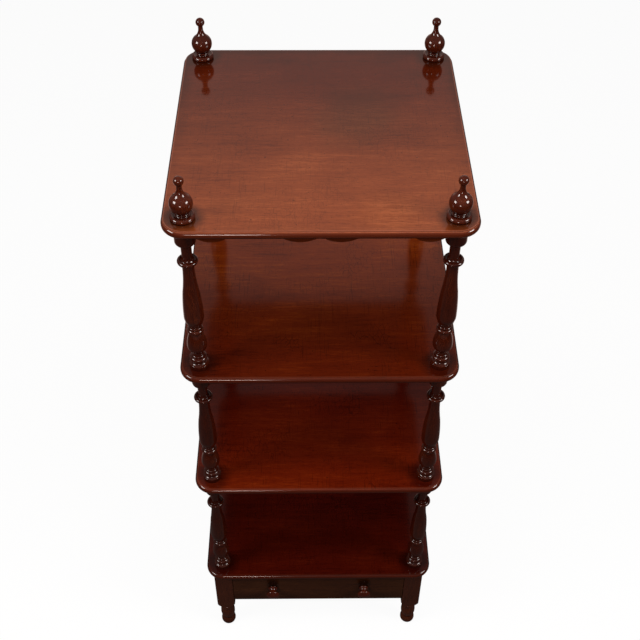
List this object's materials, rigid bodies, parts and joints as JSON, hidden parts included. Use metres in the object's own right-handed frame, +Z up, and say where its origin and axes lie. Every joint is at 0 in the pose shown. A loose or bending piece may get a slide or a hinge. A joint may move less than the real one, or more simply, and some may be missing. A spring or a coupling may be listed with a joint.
{
  "type": "etagere",
  "caption": "Mahogany etagere of open tiers on turned columns with ball finials, a scalloped apron, and a knobbed drawer over short turned feet.",
  "frame": {"origin": "on the floor under the middle of the stand", "axes": "+X to the right seen from the front, +Y to the back, +Z up along the columns; the drawer opens along -Y"},
  "size_m": [0.48, 0.5131, 1.2887],
  "materials": {
    "mahogany": "french polished, glossy",
    "pine": "bare, aged",
    "screw_brass": "dull"
  },
  "bodies": {
    "frame": {"back_rail": "mahogany", "base_shelf": "mahogany", "drawer_stops": "pine", "finial_back_left": "mahogany", "finial_back_right": "mahogany", "finial_front_left": "mahogany", "finial_front_right": "mahogany", "front_apron": "mahogany", "front_rail": "mahogany", "guide_left": "pine", "guide_right": "pine", "leg_back_left": "mahogany", "leg_back_right": "mahogany", "leg_front_left": "mahogany", "leg_front_right": "mahogany", "lower_column_back_left": "mahogany", "lower_column_back_right": "mahogany", "lower_column_front_left": "mahogany", "lower_column_front_right": "mahogany", "lower_shelf": "mahogany", "middle_column_back_left": "mahogany", "middle_column_back_right": "mahogany", "middle_column_front_left": "mahogany", "middle_column_front_right": "mahogany", "runner_left": "pine", "runner_right": "pine", "runner_screws": "screw_brass", "side_apron_left": "mahogany", "side_apron_right": "mahogany", "side_rail_left": "mahogany", "side_rail_right": "mahogany", "top_shelf": "mahogany", "upper_column_back_left": "mahogany", "upper_column_back_right": "mahogany", "upper_column_front_left": "mahogany", "upper_column_front_right": "mahogany", "upper_shelf": "mahogany"},
    "drawer": {"drawer_back": "pine", "drawer_bottom": "pine", "drawer_bottom_screws": "screw_brass", "drawer_front": "mahogany", "drawer_knob_left": "mahogany", "drawer_knob_right": "mahogany", "drawer_side_left": "pine", "drawer_side_right": "pine"}
  },
  "joints": [
    {"name": "drawer_slide", "type": "slide", "parent": "frame", "child": "drawer", "axis": [0, -1, 0], "range_m": [0, 0.28]}
  ]
}
